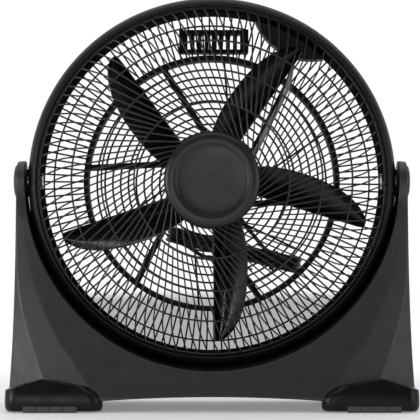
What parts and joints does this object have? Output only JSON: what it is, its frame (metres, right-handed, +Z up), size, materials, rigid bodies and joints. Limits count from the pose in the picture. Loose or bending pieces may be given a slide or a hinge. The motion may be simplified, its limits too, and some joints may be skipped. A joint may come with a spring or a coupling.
{
  "type": "tilting drum floor fan",
  "caption": "Round drum fan head with spiral-ribbed front grille, tilting between the arms of a U-shaped floor base; curved blades, rear speed knob and stowed mains lead.",
  "frame": {"origin": "on the floor under the middle of the base, below the crossing of the fan axis and the tilt axis", "axes": "+Z up, air leaves towards -Y, tilt axis along X"},
  "size_m": [0.577, 0.2479, 0.5886],
  "materials": {
    "base_plastic": "satin, finely grained",
    "foot_plastic": "satin",
    "pad_rubber": "matt",
    "screw_steel": "zinc plated",
    "nylon": "satin",
    "washer_rubber": "matt",
    "drum_plastic": "semi-gloss",
    "front_grille_plastic": "satin",
    "cap_plastic": "satin",
    "rear_grille_plastic": "satin",
    "motor_steel": "satin",
    "copper": "enamelled",
    "bearing_steel": "ground",
    "conduit_plastic": "glossy",
    "cord_rubber": "satin",
    "tie_plastic": "satin",
    "plug_plastic": "satin",
    "blade_plastic": "glossy",
    "knob_plastic": "satin"
  },
  "bodies": {
    "base": {"base_front_shell": "base_plastic", "base_rear_shell": "base_plastic", "foot_left": "foot_plastic", "foot_right": "foot_plastic", "foot_pads": "pad_rubber", "base_screws": "screw_steel", "pivot_bushes": "nylon", "pivot_cap_left": "base_plastic", "pivot_cap_right": "base_plastic", "friction_washers": "washer_rubber"},
    "head": {"drum_shroud": "drum_plastic", "front_grille": "front_grille_plastic", "grille_cap": "cap_plastic", "grille_screws": "screw_steel", "rear_outer_grille": "rear_grille_plastic", "rear_centre_grille": "rear_grille_plastic", "carry_handle": "rear_grille_plastic", "tilt_bolts": "screw_steel", "motor_housing": "motor_steel", "motor_end_plate": "motor_steel", "stator_core": "motor_steel", "stator_windings": "copper", "bearing_front": "bearing_steel", "bearing_rear": "bearing_steel", "motor_cover": "drum_plastic", "motor_screws": "screw_steel", "run_capacitor": "nylon", "switch_housing": "drum_plastic", "switch_panel": "drum_plastic", "rotary_switch": "nylon", "switch_screws": "screw_steel", "wire_conduit": "conduit_plastic", "cord_gland": "cord_rubber", "cord_lead": "cord_rubber", "cord_hank": "cord_rubber", "cord_tail": "cord_rubber", "cord_ties": "tie_plastic", "mains_plug": "plug_plastic"},
    "impeller": {"fan_blades": "blade_plastic", "spinner_nut": "blade_plastic", "motor_shaft": "bearing_steel", "rotor_core": "motor_steel"},
    "speed_knob": {"speed_knob": "knob_plastic"}
  },
  "joints": [
    {"name": "head_tilt", "type": "hinge", "parent": "base", "child": "head", "pos_m": [0, 0, 0.3237], "axis": [-1, 0, 0], "range_deg": [-30, 90]},
    {"name": "blade_spin", "type": "hinge", "parent": "head", "child": "impeller", "pos_m": [0, 0, 0.3237], "axis": [0, 1, 0], "continuous": true},
    {"name": "speed_knob_turn", "type": "hinge", "parent": "head", "child": "speed_knob", "pos_m": [0.11093, 0.08, 0.52632], "axis": [0, -1, 0], "range_deg": [0, 135]}
  ]
}
